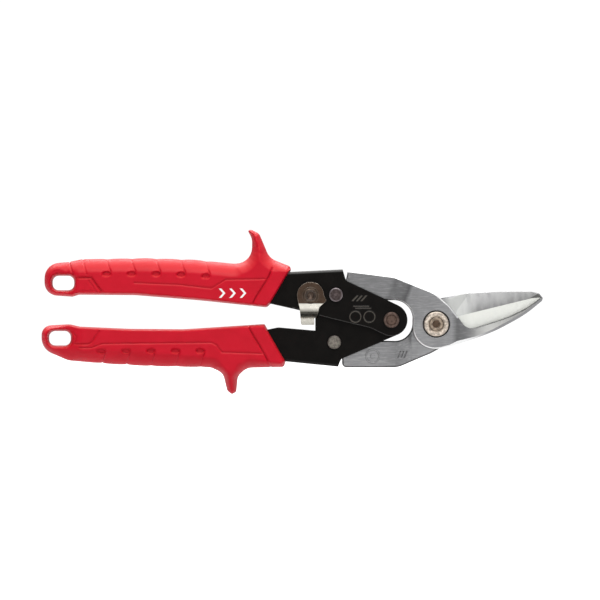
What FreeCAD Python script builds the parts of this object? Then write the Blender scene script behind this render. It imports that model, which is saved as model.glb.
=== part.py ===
import FreeCAD, Part
import math
import os

# Aviation snips, a compound-lever sheet metal cutter, in millimetres.
# The tool stands upright: +X runs to the blade tips, +Z to the thumb handle, and Y is the axis
# that every pivot turns about. The origin is on the main pivot, in the plane where the blades shear.
# The front face looks along -Y.

Vector = FreeCAD.Vector
Y_AXIS = Vector(0, 1, 0)
REACH = 240.0              # side of the blocks that cut right across a piece

# Pivot centres (x, z): the four corners of the linkage and the latch.
MAIN_PIVOT = (0.0, 0.0)
UPPER_LINK = (-50.1, 14.6)
LOWER_LINK = (-50.9, -9.1)
HANDLE_PIVOT = (-22.4, 2.05)
LATCH_PIVOT = (-62.75, 14.25)

# Thicknesses across the tool.
JAW = 6.0                  # one jaw at the main pivot
SHEAR_GAP = 0.02           # from each shear face to the shear plane
SHEET = 1.6                # lever sheet steel
SIDE_GAP = 0.05            # running gap between flat faces that slide
INNER_FACE = 3.15          # inner face of an inner lever wall, from the shear plane
INNER_WALL = INNER_FACE + SHEET
OUTER_FACE = INNER_WALL + SIDE_GAP
OUTER_WALL = OUTER_FACE + SHEET
GRIP_HALF = 9.6            # half thickness of a grip

# Round fits, as radial clearances.
RUNNING = 0.05
FIXED = 0.02
OPEN_PIVOT = 0.25          # extra play where the linkage loop closes

LINK_SHANK = 2.2
HANDLE_SHANK = 2.6
LATCH_SHANK = 2.3
BOLT_SHANK = 4.0
BOLT_HEAD = 6.35
COUNTERBORE = 6.85
COUNTERBORE_FLOOR = -3.2


def corner_arc(before, corner, after, radius):
    """Start, middle and end of the arc that rounds one corner of an outline."""
    to_before = (before - corner).normalize()
    to_after = (after - corner).normalize()
    half_angle = to_before.getAngle(to_after) / 2
    reach = radius / math.tan(half_angle)
    bisector = (to_before + to_after).normalize()
    middle = corner + bisector * (radius / math.sin(half_angle) - radius)
    return corner + to_before * reach, middle, corner + to_after * reach


def outline_wire(corners, place):
    """Closed wire through corners (a, b) or (a, b, radius), rounded with arcs."""
    points = [place(corner[0], corner[1]) for corner in corners]
    stops = []
    for index, corner in enumerate(corners):
        radius = corner[2] if len(corner) > 2 else 0
        if radius:
            following = points[(index + 1) % len(points)]
            stops.append(corner_arc(points[index - 1], points[index], following, radius))
        else:
            stops.append((points[index],))
    edges = []
    for index, stop in enumerate(stops):
        if len(stop) == 3:
            edges.append(Part.Arc(*stop).toShape())
        next_start = stops[(index + 1) % len(stops)][0]
        if stop[-1].distanceToPoint(next_start) > 1e-4:
            edges.append(Part.makeLine(stop[-1], next_start))
    return Part.Wire(edges)


def plate(corners, y_front, y_back):
    """Flat piece with an outline in XZ, from y_front to y_back."""
    face = Part.Face(outline_wire(corners, lambda x, z: Vector(x, y_front, z)))
    return face.extrude(Vector(0, y_back - y_front, 0))


def slab(corners, z_low=-70.0, z_high=70.0):
    """Upright block with an outline in XY."""
    face = Part.Face(outline_wire(corners, lambda x, y: Vector(x, y, z_low)))
    return face.extrude(Vector(0, 0, z_high - z_low))


def bar(corners, x_low, x_high):
    """Block along X with an outline in YZ."""
    face = Part.Face(outline_wire(corners, lambda y, z: Vector(x_low, y, z)))
    return face.extrude(Vector(x_high - x_low, 0, 0))


def disc(centre, radius, y_front, y_back):
    """Cylinder along Y."""
    return Part.makeCylinder(radius, y_back - y_front, Vector(centre[0], y_front, centre[1]), Y_AXIS)


def ring(centre, outer, inner, y_front, y_back):
    return disc(centre, outer, y_front, y_back).cut(disc(centre, inner, y_front - 1, y_back + 1))


def turned(centre, profile):
    """Solid of revolution about the Y axis through centre, from corners (radius, y)."""
    def place(radius, y):
        return Vector(centre[0] + radius, y, centre[1])
    face = Part.Face(outline_wire(profile, place))
    return face.revolve(Vector(centre[0], 0, centre[1]), Y_AXIS, 360)


def slot(centre, length, width, corner, y_front, y_back):
    """Slot along X with rounded corners, as a solid."""
    x, z = centre
    half_length, half_width = length / 2, width / 2
    return plate([
        (x - half_length, z - half_width, corner),
        (x + half_length, z - half_width, corner),
        (x + half_length, z + half_width, corner),
        (x - half_length, z + half_width, corner),
    ], y_front, y_back)


def below(line, drop):
    """Everything under a line of points, lowered by drop."""
    ends = [(x, z - drop) for x, z in line]
    return plate(ends + [(line[-1][0], -90.0), (line[0][0], -90.0)], -30, 30)


def above(line, rise):
    """Everything over a line of points, raised by rise."""
    ends = [(x, z + rise) for x, z in line]
    return plate(ends + [(line[-1][0], 90.0), (line[0][0], 90.0)], -30, 30)


def cut_all(body, *tools):
    for tool in tools:
        body = body.cut(tool)
    return body


def edges_where(body, wanted):
    """Edges whose two ends and middle all satisfy wanted(point)."""
    found = []
    for edge in body.Edges:
        middle = edge.valueAt((edge.FirstParameter + edge.LastParameter) / 2)
        points = [vertex.Point for vertex in edge.Vertexes] + [middle]
        if all(wanted(point) for point in points):
            found.append(edge)
    return found


def front_rim(body):
    """Edges where the walls round an outline meet the faces that look to the front."""
    found = []
    for edge in body.Edges:
        middle = edge.valueAt((edge.FirstParameter + edge.LastParameter) / 2)
        faces = body.ancestorsOfType(edge, Part.Face)
        lean = sorted(face.normalAt(*face.Surface.parameter(middle)).y for face in faces)
        if len(lean) == 2 and lean[0] < -0.7 and abs(lean[1]) < 0.1:
            found.append(edge)
    return found


def line_height(line, x):
    """Height of a line of points at x; the points run in either direction along X."""
    ordered = sorted(line)
    for (x0, z0), (x1, z1) in zip(ordered, ordered[1:]):
        if x0 <= x <= x1:
            return z0 + (z1 - z0) * (x - x0) / (x1 - x0)
    return ordered[0][1] if x < ordered[0][0] else ordered[-1][1]


# ---------------------------------------------------------------- jaws

BLADE_TIP = (53.3, 13.2)
SHOULDER_X = -44.9

# Where a jaw steps across from its own side of the shear plane to the tail's place between the walls.
STEP_NEAR = -12.8
STEP_FAR = -21.0
JAW_CHAMFER = 0.6
STROKE_DEPTH = 0.3         # of the strokes engraved in the rear tail's sloped step
BOSS_RADIUS = 1.5
BOSS_HEIGHT = 2.2
BOSS_ROOT = 2.0            # how deep a boss is let into its tail
TAIL_OUTER = INNER_WALL
TAIL_INNER = INNER_FACE - SIDE_GAP

# Lower edge of the front blade, from its heel to its tip.
BLADE_BACK = [(14.0, -9.0), (29.0, -3.8), (44.5, 4.7), (BLADE_TIP[0] - 0.4, BLADE_TIP[1] - 1.6)]
BLADE_HEEL = 10.5
BLADE_FRONT = [(BLADE_HEEL, -JAW), (19.5, -4.7), (60.0, -2.6)]

FRONT_JAW_OUTLINE = [
    (-56.2, 8.5, 6.0), (-56.2, 20.7, 6.0), (SHOULDER_X - 0.9, 20.7, 0.8), (SHOULDER_X, 22.6, 1.0),
    (-44.1, 26.6, 1.2), (-21.0, 23.7, 14.0), (-1.0, 15.6, 16.0), (6.5, 9.0, 14.0),
    (15.7, -3.2, 5.5), (35.5, 3.0, 60.0), (44.8, 7.6, 30.0), BLADE_TIP,
    BLADE_BACK[3], (*BLADE_BACK[2], 60.0), (*BLADE_BACK[1], 90.0), (*BLADE_BACK[0], 60.0),
    (1.5, -12.3, 14.0), (-11.7, -12.3, 11.0), (-11.7, 11.9, 9.3), (-30.0, 11.9, 12.0), (-46.0, 8.5, 12.0),
]

REAR_JAW_OUTLINE = [
    (-57.0, -15.2, 6.0), (-57.0, -3.0, 6.0), (-46.5, -3.0, 12.0), (-29.0, -8.4, 12.0), (-11.7, -8.6, 8.8),
    (-11.7, 12.4, 11.0), (2.0, 12.8, 12.0), (16.0, 15.4, 40.0), (33.0, 16.2, 80.0), (48.5, 16.2, 9.0),
    (51.6, 15.3, 2.0), BLADE_TIP, (46.0, 7.2, 30.0), (32.0, 0.6, 60.0), (14.0, -5.6, 10.0),
    (-3.0, -14.8, 20.0),
    (-19.0, -21.6, 12.0), (-46.9, -21.6, 2.0), (-46.9, -17.6, 1.0), (-48.5, -15.2, 1.0),
]


def jaw_section():
    """Thickness of the front jaw along X: pivot plate, step to the tail, and blade that thins to its tip."""
    heel, root, tip = BLADE_FRONT
    return slab([
        (-70.0, -TAIL_OUTER), (STEP_FAR, -TAIL_OUTER, 4.0), (STEP_NEAR, -JAW, 4.0), heel,
        (*root, 8.0), tip, (tip[0], -SHEAR_GAP), (STEP_NEAR + 0.6, -SHEAR_GAP, 1.0),
        (STEP_FAR + 0.6, TAIL_INNER, 1.0), (-70.0, TAIL_INNER),
    ])


def half_space(point, normal, depth=30.0):
    """Block whose flat face passes through point and that fills the side that normal points to."""
    block = Part.makeBox(REACH, REACH, depth, Vector(-REACH / 2, -REACH / 2, 0))
    block.Placement = FreeCAD.Placement(Vector(*point), FreeCAD.Rotation(Vector(0, 0, 1), Vector(*normal)))
    return block


def spring_boss(seat, direction):
    """Round stud on a tail's inner edge that keeps the spring in place; direction 1 is up and -1 is down."""
    x, z = seat
    root = Vector(x, 0, z - BOSS_ROOT * direction)
    return Part.makeCylinder(BOSS_RADIUS, BOSS_ROOT + BOSS_HEIGHT, root, Vector(0, 0, direction))


def blade_bevels(width=1.3, depth=0.8):
    """Sloped strips along the front blade's lower edge, one for each straight run, as solids to cut away."""
    bevels = []
    for (x0, z0), (x1, z1) in zip(BLADE_BACK, BLADE_BACK[1:]):
        start = Vector(x0, line_height(BLADE_FRONT, x0) + depth, z0)
        end = Vector(x1, line_height(BLADE_FRONT, x1) + depth, z1)
        inward = Vector(z0 - z1, 0, x1 - x0).normalize()
        slope = inward * width - Y_AXIS * depth
        bevels.append(half_space(start, (end - start).cross(slope)))
    return bevels


def front_jaw():
    """Upper tail and lower blade, in front of the shear plane."""
    jaw = plate(FRONT_JAW_OUTLINE, -10, 10).common(jaw_section())
    rim = [edge for edge in front_rim(jaw) if edge.CenterOfMass.x < BLADE_HEEL]
    jaw = jaw.makeChamfer(JAW_CHAMFER, rim)
    jaw = cut_all(jaw, *blade_bevels())
    jaw = jaw.fuse(spring_boss(SPRING_TOP, -1))
    jaw = cut_all(
        jaw,
        disc(MAIN_PIVOT, BOLT_SHANK + RUNNING, -10, 10),
        disc(MAIN_PIVOT, COUNTERBORE, -10, COUNTERBORE_FLOOR),
        disc(UPPER_LINK, LINK_SHANK + RUNNING, -10, 10),
    )
    return jaw.removeSplitter()


def tail_badge():
    """Plain raised ring and dot on the rear jaw's tail."""
    centre = (-31.75, -16.0)
    face = -TAIL_INNER
    height = 0.3
    return ring(centre, 3.6, 3.0, face - height, 0).fuse(disc(centre, 1.1, face - height, 0))


def tail_strokes(section):
    """Three slanted strokes that sink evenly into a sloping face of section, as solids to cut away."""
    floor = section.translated(Vector(0, STROKE_DEPTH, 0))
    low, high = -16.8, -13.4
    strokes = []
    for x in (-19.5, -17.9, -16.3):
        outline = [(x, low), (x + 0.7, low), (x + 2.0, high), (x + 1.3, high)]
        strokes.append(plate(outline, -9, 1).cut(floor))
    return strokes


def rear_jaw():
    """Lower tail and upper blade, behind the shear plane."""
    section = jaw_section().mirror(Vector(0, 0, 0), Y_AXIS)
    jaw = plate(REAR_JAW_OUTLINE, -10, 10).common(section)
    rim = [edge for edge in front_rim(jaw) if edge.CenterOfMass.x < STEP_FAR]
    jaw = jaw.makeChamfer(JAW_CHAMFER, rim)
    # The shear face is relieved above a ridge, and the relief runs out gently towards the heel.
    relief = half_space((32.0, 0.0, 8.9), (-0.045, -1.0, 0.185))
    ahead_of_heel = slab([(8.0, -20), (60, -20), (60, 20), (17.0, 2.0), (8.0, 0.0)])
    # A small facet above the ridge's end leaves the tip thinner.
    facet = half_space((46.6, SHEAR_GAP, 12.75), (-0.009, -1.0, 0.135))
    near_tip = slab([(45.0, -20), (60, -20), (60, 20), (45.0, 20)])
    jaw = cut_all(jaw, relief.common(ahead_of_heel), facet.common(near_tip))
    jaw = jaw.fuse(spring_boss(SPRING_BOTTOM, 1)).fuse(tail_badge())
    jaw = cut_all(
        jaw,
        disc(MAIN_PIVOT, BOLT_SHANK + FIXED, -10, 10),
        disc(LOWER_LINK, LINK_SHANK + RUNNING, -10, 10),
        *tail_strokes(section),
    )
    return jaw.removeSplitter()


# ---------------------------------------------------------------- main pivot

BOLT_HEAD_FRONT = -6.35
HEAD_WASHER = 0.5
WAVE_WASHER = 0.5
NUT_HEIGHT = 4.6
NUT_FLATS = 13.0


def hexagon(centre, across_flats, y_front, y_back):
    radius = across_flats / math.sqrt(3)
    corners = []
    for turn in range(0, 360, 60):
        angle = math.radians(turn)
        corners.append((centre[0] + radius * math.cos(angle), centre[1] + radius * math.sin(angle)))
    return plate(corners, y_front, y_back)


def pivot_bolt():
    """Shoulder bolt with a low head that sits in the front jaw's counterbore."""
    seat = COUNTERBORE_FLOOR - HEAD_WASHER
    tail = JAW + WAVE_WASHER + NUT_HEIGHT + 0.7
    bolt = turned(MAIN_PIVOT, [
        (0, BOLT_HEAD_FRONT), (BOLT_HEAD, BOLT_HEAD_FRONT, 0.8), (BOLT_HEAD, seat),
        (BOLT_SHANK, seat), (BOLT_SHANK, tail, 0.6), (0, tail),
    ])
    groove = ring(MAIN_PIVOT, 3.7, 3.3, BOLT_HEAD_FRONT - 1, BOLT_HEAD_FRONT + 0.25)
    socket = hexagon(MAIN_PIVOT, 4.0, BOLT_HEAD_FRONT - 1, BOLT_HEAD_FRONT + 2.4)
    return cut_all(bolt, groove, socket)


def pivot_head_washer():
    """Flat washer between the bolt head and the floor of the counterbore."""
    top = COUNTERBORE_FLOOR - HEAD_WASHER
    return ring(MAIN_PIVOT, BOLT_HEAD - 0.2, BOLT_SHANK + FIXED, top, COUNTERBORE_FLOOR)


def pivot_wave_washer():
    """Spring washer under the nut."""
    return ring(MAIN_PIVOT, 7.2, BOLT_SHANK + FIXED, JAW, JAW + WAVE_WASHER)


def pivot_nut():
    """Low hexagon lock nut, chamfered at both ends, with a seat for its ring."""
    bottom = JAW + WAVE_WASHER
    top = bottom + NUT_HEIGHT
    corner = NUT_FLATS / math.sqrt(3)
    envelope = turned(MAIN_PIVOT, [
        (0, bottom), (corner - 0.7, bottom), (corner + 0.1, bottom + 0.5),
        (corner + 0.1, top - 0.6), (corner - 1.0, top), (0, top),
    ])
    body = hexagon(MAIN_PIVOT, NUT_FLATS, bottom, top).common(envelope)
    return cut_all(
        body,
        disc(MAIN_PIVOT, BOLT_SHANK + FIXED, bottom - 1, top + 1),
        disc(MAIN_PIVOT, 5.0, top - 1.4, top + 1),
    )


def pivot_nut_ring():
    """Nylon locking ring in the nut's mouth."""
    top = JAW + WAVE_WASHER + NUT_HEIGHT
    return ring(MAIN_PIVOT, 5.0 - FIXED, BOLT_SHANK + FIXED, top - 1.4, top - 0.1)


# ---------------------------------------------------------------- levers

UPPER_TOP_LINE = [(-46.75, 27.3), (-76.0, 25.9), (-150.0, 28.6)]
LOWER_BOTTOM_LINE = [(-49.0, -21.3), (-76.0, -18.6), (-150.0, -16.0)]
NOSE = 8.0
MARK_DEPTH = 0.2           # of the marks engraved in the upper lever

# Each outline runs from the web to the handle pivot, where a round nose closes it.
UPPER_LEVER_OUTLINE = [
    *UPPER_TOP_LINE,
    (-150.0, 18.6), (-104.0, 13.0), (-83.0, 10.2, 20.0), (-70.5, 7.4, 10.0), (-48.0, 1.75, 30.0),
    (-33.0, -1.8, 14.0), (-25.2, -5.5), HANDLE_PIVOT, (-19.0, 9.35), (-45.0, 21.6, 1.5), (-45.6, 23.4),
]
LOWER_LEVER_OUTLINE = [
    *LOWER_BOTTOM_LINE,
    (-150.0, -6.0), (-90.0, -4.0), (-79.0, -1.7, 6.0), (-62.0, -3.2), (-60.35, -3.3), (-60.35, 7.3, 1.5),
    (-46.0, 7.3, 20.0), (-30.0, 10.0, 10.0), (-22.4, 10.05), HANDLE_PIVOT, (-19.4, -5.37),
    (-47.3, -17.3, 1.5), (-48.2, -19.0),
]


def between_walls(x_start, y_front, y_back):
    """Everything between the two walls of a channel, from x_start on."""
    corner = Vector(x_start, y_front + SHEET, -REACH / 2)
    return Part.makeBox(REACH, y_back - y_front - 2 * SHEET, REACH, corner)


def u_channel(outline, web_line, y_front, y_back, web_drop):
    """Folded sheet lever: two walls joined by a web along one edge, open on the other side."""
    body = plate(outline, y_front, y_back).fuse(disc(HANDLE_PIVOT, NOSE, y_front, y_back))
    body = body.removeSplitter()

    def on_bend(point):
        at_face = min(abs(point.y - y_front), abs(point.y - y_back)) < 1e-3
        return at_face and abs(point.z - line_height(web_line, point.x)) < 1e-3

    body = body.makeFillet(SHEET, edges_where(body, on_bend))
    interior = below(web_line, web_drop) if web_drop > 0 else above(web_line, -web_drop)
    return body.cut(interior.common(between_walls(-200, y_front, y_back)))


def lever_marks():
    """Plain rings, rules and slanted bars, as solids to engrave in the upper lever's front wall."""
    y_front, y_back = -OUTER_WALL - 1, -OUTER_WALL + MARK_DEPTH
    marks = [ring((x, 3.6), 3.0, 2.5, y_front, y_back) for x in (-40.4, -33.4)]
    for x, z in ((-41.5, 8.6), (-40.5, 7.6)):
        rule = [(x, z), (x + 8.0, z), (x + 8.0, z + 0.45), (x, z + 0.45)]
        marks.append(plate(rule, y_front, y_back))
    for x in (-42.4, -40.2, -38.0):
        bar_outline = [(x, 11.4), (x + 1.0, 11.4), (x + 3.6, 14.2), (x + 2.6, 14.2)]
        marks.append(plate(bar_outline, y_front, y_back))
    return marks


def upper_lever():
    """Thumb lever: its front wall is the outer one and its back wall the inner one."""
    y_front, y_back = -OUTER_WALL, INNER_WALL
    lever = u_channel(UPPER_LEVER_OUTLINE, UPPER_TOP_LINE, y_front, y_back, SHEET)
    lever = lever.cut(between_walls(UPPER_TOP_LINE[0][0], y_front, y_back))
    # Shallow relief in the front wall's lower edge, where the latch arm bends through and swings.
    swing = [(-72.0, 3.0), (-58.6, 3.0), (-58.6, 6.6), (-67.0, 7.0), (-72.0, 8.3)]
    relief = plate(swing, -OUTER_WALL - 1, -OUTER_FACE + 0.01)
    return cut_all(
        lever, relief, *lever_marks(),
        disc(UPPER_LINK, LINK_SHANK + FIXED, -10, 10),
        disc(HANDLE_PIVOT, HANDLE_SHANK + FIXED, -10, 10),
        disc(LATCH_PIVOT, LATCH_SHANK + FIXED, -10, 0),
    )


def lower_lever():
    """Finger lever: its front wall is the inner one and its back wall the outer one."""
    y_front, y_back = -INNER_WALL, OUTER_WALL
    lever = u_channel(LOWER_LEVER_OUTLINE, LOWER_BOTTOM_LINE, y_front, y_back, -SHEET)
    lever = lever.cut(between_walls(LOWER_BOTTOM_LINE[0][0], y_front, y_back))
    # Catch for the latch arm in the front wall's step.
    catch = plate([(-61.0, 3.0), (-58.9, 3.4), (-58.9, 5.4), (-61.0, 5.4)], -6, 0)
    play = HANDLE_SHANK + OPEN_PIVOT
    return cut_all(
        lever, catch,
        disc(LOWER_LINK, LINK_SHANK + FIXED, -10, 10),
        disc(HANDLE_PIVOT, play, -10, 10),
    )


def rivet(centre, shank, head, head_height, y_front, y_back):
    """Headed at both ends, with the heads bearing on y_front and y_back."""
    front, back = y_front - head_height, y_back + head_height
    return turned(centre, [
        (0, front), (head, front, 0.5), (head, y_front), (shank, y_front),
        (shank, y_back), (head, y_back), (head, back, 0.5), (0, back),
    ])


def upper_link_rivet():
    return rivet(UPPER_LINK, LINK_SHANK, 3.5, 0.9, -OUTER_WALL, INNER_WALL)


def lower_link_rivet():
    return rivet(LOWER_LINK, LINK_SHANK, 3.4, 0.9, -INNER_WALL, OUTER_WALL)


def handle_pivot_rivet():
    return rivet(HANDLE_PIVOT, HANDLE_SHANK, 4.0, 1.0, -OUTER_WALL, OUTER_WALL + SIDE_GAP)


def handle_pivot_sleeve():
    """Spacer that keeps the lever walls apart at the handle pivot."""
    return ring(HANDLE_PIVOT, 4.2, HANDLE_SHANK + FIXED, -INNER_FACE + SIDE_GAP, INNER_FACE)


# ---------------------------------------------------------------- return spring

SPRING_X = -40.0
SPRING_TOP = (SPRING_X, 9.7)
SPRING_BOTTOM = (SPRING_X, -5.0)
SPRING_WIRE = 0.8
SPRING_RADIUS = 2.2
SPRING_TURNS = 6


def return_spring():
    """Compression coil between the two jaw tails."""
    seat = 0.15
    bottom = SPRING_BOTTOM[1] + seat + SPRING_WIRE / 2
    height = SPRING_TOP[1] - SPRING_BOTTOM[1] - 2 * seat - SPRING_WIRE - 0.35
    helix = Part.makeHelix(height / SPRING_TURNS, height, SPRING_RADIUS)
    helix.translate(Vector(SPRING_X, 0, bottom))
    start = Vector(SPRING_X + SPRING_RADIUS, 0, bottom)
    section = Part.Wire(Part.makeCircle(SPRING_WIRE / 2, start, Y_AXIS))
    return Part.Wire(helix).makePipeShell([section], True, True)


# ---------------------------------------------------------------- latch

LATCH_FRONT = -8.05
LATCH_BACK = LATCH_FRONT + 1.6
LATCH_WAVE = 0.5
LATCH_DISC = 6.7
LATCH_OUTLINE = [
    (-64.0, 20.8), (-58.7, 20.2, 2.0), (-54.8, 11.6, 0.8), (-58.4, 8.4, 1.5), (-59.6, 3.2, 0.8),
    (-60.85, 3.0), (-60.85, -0.4, 0.4), (-67.4, -0.4, 0.8), (-68.2, 8.0, 4.0), (-69.4, 13.2),
]


def latch():
    """Turning plate with a thumb tab, whose arm steps back to the lower lever's front wall."""
    arm_back = -INNER_FACE - SIDE_GAP
    arm_front = arm_back - 1.55
    section = bar([
        (LATCH_FRONT, 24.0), (LATCH_FRONT, 5.2, 1.0), (arm_front, 2.7, 1.0), (arm_front, -2.0),
        (arm_back, -2.0), (arm_back, 3.35, 0.5), (LATCH_BACK, 5.65, 0.5), (LATCH_BACK, 24.0),
    ], -75, -50)
    body = plate(LATCH_OUTLINE, -10, 0).fuse(disc(LATCH_PIVOT, LATCH_DISC, -10, 0)).common(section)
    beside_arm = Part.makeBox(10, 5, 20, Vector(-60.9, arm_front - 0.08, -10))
    return cut_all(body, disc(LATCH_PIVOT, LATCH_SHANK + RUNNING, -12, 2), beside_arm)


def latch_wave_washer():
    return ring(LATCH_PIVOT, 4.2, LATCH_SHANK + FIXED, LATCH_FRONT - LATCH_WAVE - 0.02, LATCH_FRONT - 0.02)


def latch_rivet():
    """Hexagon-headed pin through the latch, headed over inside the front wall."""
    washer_top = LATCH_FRONT - LATCH_WAVE - 0.04
    front = washer_top - 2.0
    inside = -OUTER_FACE
    body = turned(LATCH_PIVOT, [
        (0, front), (3.45, front, 0.5), (3.45, washer_top), (LATCH_SHANK, washer_top),
        (LATCH_SHANK, inside), (3.2, inside), (3.2, inside + 0.8, 0.3), (0, inside + 0.8),
    ])
    dimple = turned(LATCH_PIVOT, [(0, front - 1), (1.9, front - 1), (1.9, front + 0.2), (0, front + 0.9)])
    groove = ring(LATCH_PIVOT, 2.6, 2.3, front - 1, front + 0.2)
    return cut_all(body, dimple, groove)


# ---------------------------------------------------------------- grips

UPPER_GRIP_OUTLINE = [
    (-195.75, 30.0, 7.5), (-178.0, 32.4, 20.0), (-145.0, 32.9, 60.0), (-121.0, 32.2, 60.0),
    (-101.0, 30.2, 4.0), (-91.4, 30.4, 7.5), (-91.4, 43.0, 5.0), (-94.1, 46.9, 0.5), (-92.4, 47.3, 0.5),
    (-87.6, 44.6, 6.0), (-83.5, 33.0, 7.0), (-73.1, 29.0, 1.0), (-72.3, 27.0, 0.8), (-82.5, 10.4, 1.0),
    (-84.6, 8.2, 1.5), (-118.0, 11.75, 60.0), (-150.0, 14.35, 60.0), (-178.5, 14.6, 5.0),
    (-181.7, 13.5, 4.0), (-195.75, 14.6, 6.0),
]
LOWER_GRIP_OUTLINE = [
    (-197.25, -0.9, 4.8), (-183.0, 0.0, 12.0), (-178.0, -1.3, 10.0), (-153.0, -2.4, 60.0),
    (-126.0, -2.6, 60.0), (-98.0, -0.7, 30.0), (-85.7, 0.1, 1.0), (-84.0, -3.0, 12.0), (-75.0, -18.5, 2.0),
    (-76.0, -21.6, 1.5), (-95.0, -21.9, 8.0), (-99.2, -26.0, 5.0), (-99.7, -33.8, 0.8), (-102.0, -35.4, 0.8),
    (-104.4, -33.5, 1.5), (-106.5, -24.5, 5.0), (-112.0, -21.7, 5.0), (-143.0, -21.1, 60.0),
    (-184.0, -18.3, 12.0), (-197.25, -12.5, 8.0),
]
UPPER_HANG_SLOT = (-186.25, 20.5)
LOWER_HANG_SLOT = (-188.0, -7.1)
SLOT_LENGTH, SLOT_WIDTH, SLOT_CORNER = 10.8, 7.2, 3.0
GRIP_ROUNDING = 0.8


def grip_body(outline, hang_slot):
    """Moulded grip without its lever: thinner at the hanging loop, rounded along both faces."""
    body = plate(outline, -GRIP_HALF, GRIP_HALF)

    def on_face(point):
        return abs(abs(point.y) - GRIP_HALF) < 1e-3

    body = body.makeFillet(GRIP_ROUNDING, edges_where(body, on_face))
    loop_half = 6.6
    section = slab([
        (-200, -loop_half), (-184, -loop_half, 8), (-172, -GRIP_HALF, 8), (-60, -GRIP_HALF - 0.1),
        (-60, GRIP_HALF + 0.1), (-172, GRIP_HALF, 8), (-184, loop_half, 8), (-200, loop_half),
    ])
    return body.common(section).cut(slot(hang_slot, SLOT_LENGTH, SLOT_WIDTH, SLOT_CORNER, -20, 20))


def lever_pocket(outline, y_front, y_back):
    """Room for a lever's tang, with the moulding gap all round."""
    return plate(outline, y_front - FIXED, y_back + FIXED)


def upper_grip():
    grip = grip_body(UPPER_GRIP_OUTLINE, UPPER_HANG_SLOT)
    top = [(x, z + FIXED) for x, z in UPPER_TOP_LINE]
    tang = [*top, (-150.05, 28.6), (-150.05, 18.55), (-104.0, 12.9), (-83.0, 10.1), (-60.0, 4.0)]
    return grip.cut(lever_pocket(tang, -OUTER_WALL, INNER_WALL))


def lower_grip():
    grip = grip_body(LOWER_GRIP_OUTLINE, LOWER_HANG_SLOT)
    bottom = [(x, z - FIXED) for x, z in LOWER_BOTTOM_LINE]
    tang = [*bottom, (-150.05, -16.0), (-150.05, -5.95), (-90.0, -3.9), (-79.0, -1.6), (-60.0, -3.0)]
    return grip.cut(lever_pocket(tang, -INNER_WALL, OUTER_WALL))


PARTS = {
    "front_jaw": front_jaw,
    "rear_jaw": rear_jaw,
    "pivot_bolt": pivot_bolt,
    "pivot_head_washer": pivot_head_washer,
    "pivot_wave_washer": pivot_wave_washer,
    "pivot_nut": pivot_nut,
    "pivot_nut_ring": pivot_nut_ring,
    "upper_lever": upper_lever,
    "lower_lever": lower_lever,
    "upper_link_rivet": upper_link_rivet,
    "lower_link_rivet": lower_link_rivet,
    "handle_pivot_rivet": handle_pivot_rivet,
    "handle_pivot_sleeve": handle_pivot_sleeve,
    "return_spring": return_spring,
    "latch": latch,
    "latch_wave_washer": latch_wave_washer,
    "latch_rivet": latch_rivet,
    "upper_grip": upper_grip,
    "lower_grip": lower_grip,
}

os.makedirs("parts", exist_ok=True)
for name, build in PARTS.items():
    solid = build()
    print(name, solid.isValid(), len(solid.Solids), round(solid.Volume, 1))
    solid.exportStep(f"parts/{name}.step")
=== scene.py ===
import math

import bpy
import numpy as np
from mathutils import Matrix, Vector


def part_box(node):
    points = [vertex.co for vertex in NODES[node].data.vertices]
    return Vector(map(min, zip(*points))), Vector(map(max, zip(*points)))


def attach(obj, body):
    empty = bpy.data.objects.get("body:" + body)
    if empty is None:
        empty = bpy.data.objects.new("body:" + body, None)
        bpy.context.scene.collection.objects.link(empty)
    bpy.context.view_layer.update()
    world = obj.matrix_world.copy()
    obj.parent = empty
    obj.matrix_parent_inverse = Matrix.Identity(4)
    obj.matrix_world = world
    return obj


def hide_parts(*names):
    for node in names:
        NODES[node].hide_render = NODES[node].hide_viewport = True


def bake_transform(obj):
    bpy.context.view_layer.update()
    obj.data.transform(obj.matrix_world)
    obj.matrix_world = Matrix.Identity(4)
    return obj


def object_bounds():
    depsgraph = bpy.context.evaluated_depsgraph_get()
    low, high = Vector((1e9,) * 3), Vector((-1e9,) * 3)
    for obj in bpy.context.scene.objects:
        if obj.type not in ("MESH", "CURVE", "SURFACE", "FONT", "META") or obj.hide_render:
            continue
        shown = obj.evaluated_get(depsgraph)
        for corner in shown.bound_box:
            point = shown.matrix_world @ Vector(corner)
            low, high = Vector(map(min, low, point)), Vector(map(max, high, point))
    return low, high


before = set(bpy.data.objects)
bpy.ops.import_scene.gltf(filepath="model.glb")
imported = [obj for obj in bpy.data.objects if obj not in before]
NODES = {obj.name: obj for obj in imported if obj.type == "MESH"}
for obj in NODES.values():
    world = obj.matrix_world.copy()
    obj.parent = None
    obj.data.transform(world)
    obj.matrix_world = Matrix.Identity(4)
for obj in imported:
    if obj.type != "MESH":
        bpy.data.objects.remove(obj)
CAD_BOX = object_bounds()

MM = 0.001


def centre_of(node):
    """Middle of a CAD node's box."""
    low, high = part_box(node)
    return (low + high) / 2


# ------------------------------------------------------------------ node graphs

NORMAL_SAMPLES = 6         # rays that round an edge's normal or look for a crease


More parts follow.
